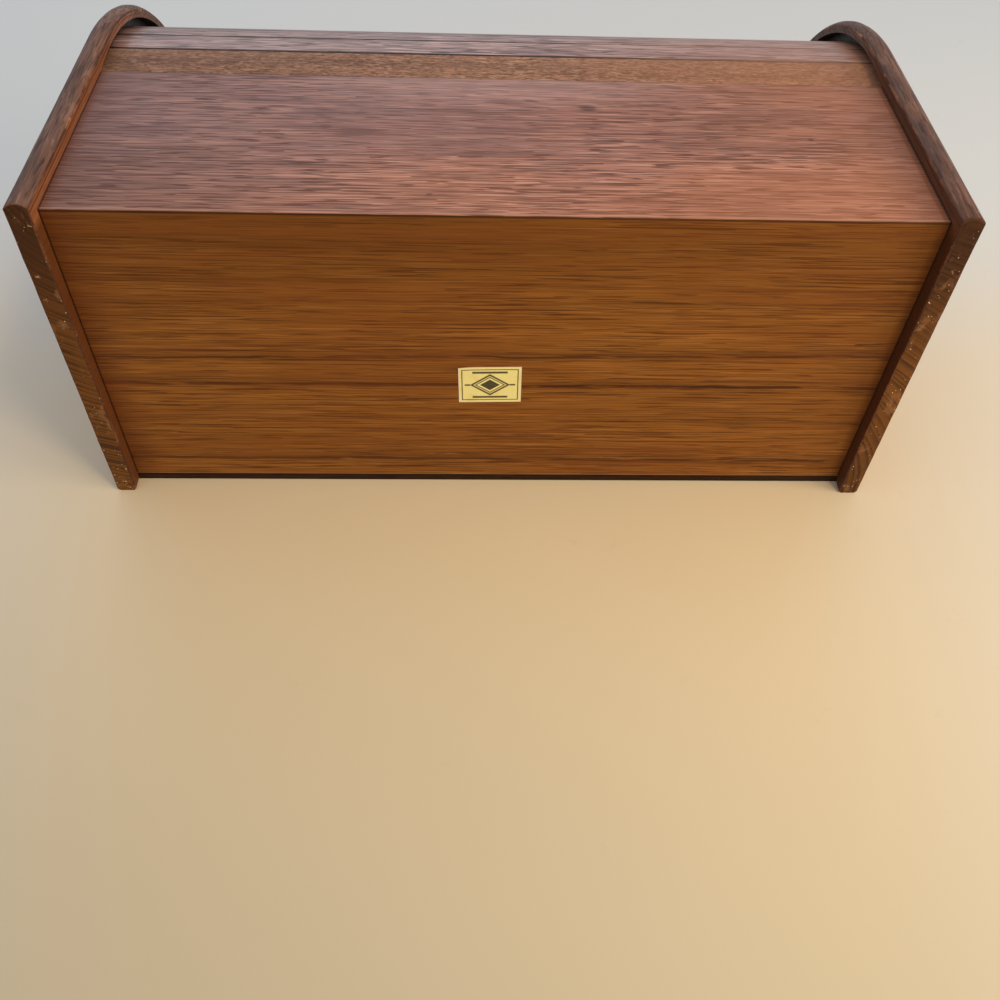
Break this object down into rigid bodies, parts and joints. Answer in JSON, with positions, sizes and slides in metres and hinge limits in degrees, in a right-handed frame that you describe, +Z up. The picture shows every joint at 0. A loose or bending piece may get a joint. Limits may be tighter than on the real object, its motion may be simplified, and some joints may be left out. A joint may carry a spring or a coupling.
{
  "type": "tambour lid box",
  "caption": "Desktop keepsake box with a tambour lid: a slatted curtain runs in round grooves in the end panels and turns back under the top board.",
  "frame": {"origin": "centre of the box's outline, on the plane it stands on", "axes": "+Z up, the curtain's front faces -Y and the back panel faces +Y, +X to the right seen from the front"},
  "size_m": [0.4, 0.2804, 0.177],
  "materials": {
    "end_panel_teak": "oiled, satin",
    "top_board_teak": "oiled, satin",
    "back_panel_teak": "oiled, satin",
    "bottom_board_teak": "oiled, matte, with dark edges",
    "front_rail_teak": "oiled, satin",
    "slat_teak": "oiled, satin",
    "tail_slat_teak": "bare, matte",
    "lead_rail_teak": "oiled, satin",
    "dowel_beech": "bare",
    "canvas": "unbleached cotton, matte",
    "label_paper": "coated paper, matte"
  },
  "bodies": {
    "box": {"back_panel": "back_panel_teak", "back_panel_dowels": "dowel_beech", "bottom_board": "bottom_board_teak", "bottom_board_dowels": "dowel_beech", "front_rail": "front_rail_teak", "front_rail_dowels": "dowel_beech", "label": "label_paper", "left_side": "end_panel_teak", "right_side": "end_panel_teak", "top_board": "top_board_teak", "top_board_dowels": "dowel_beech"},
    "curtain": {"slat_01": "slat_teak", "slat_02": "slat_teak", "slat_03": "slat_teak", "slat_04": "slat_teak", "slat_05": "slat_teak", "slat_06": "slat_teak", "slat_07": "slat_teak", "slat_08": "slat_teak", "tail_slat": "tail_slat_teak", "lead_rail": "lead_rail_teak", "canvas_backing": "canvas"}
  },
  "joints": [
    {"name": "curtain_turn", "type": "hinge", "parent": "box", "child": "curtain", "pos_m": [0, -0.00225, 0.039], "axis": [-1, 0, 0], "range_deg": [0, 80]}
  ]
}
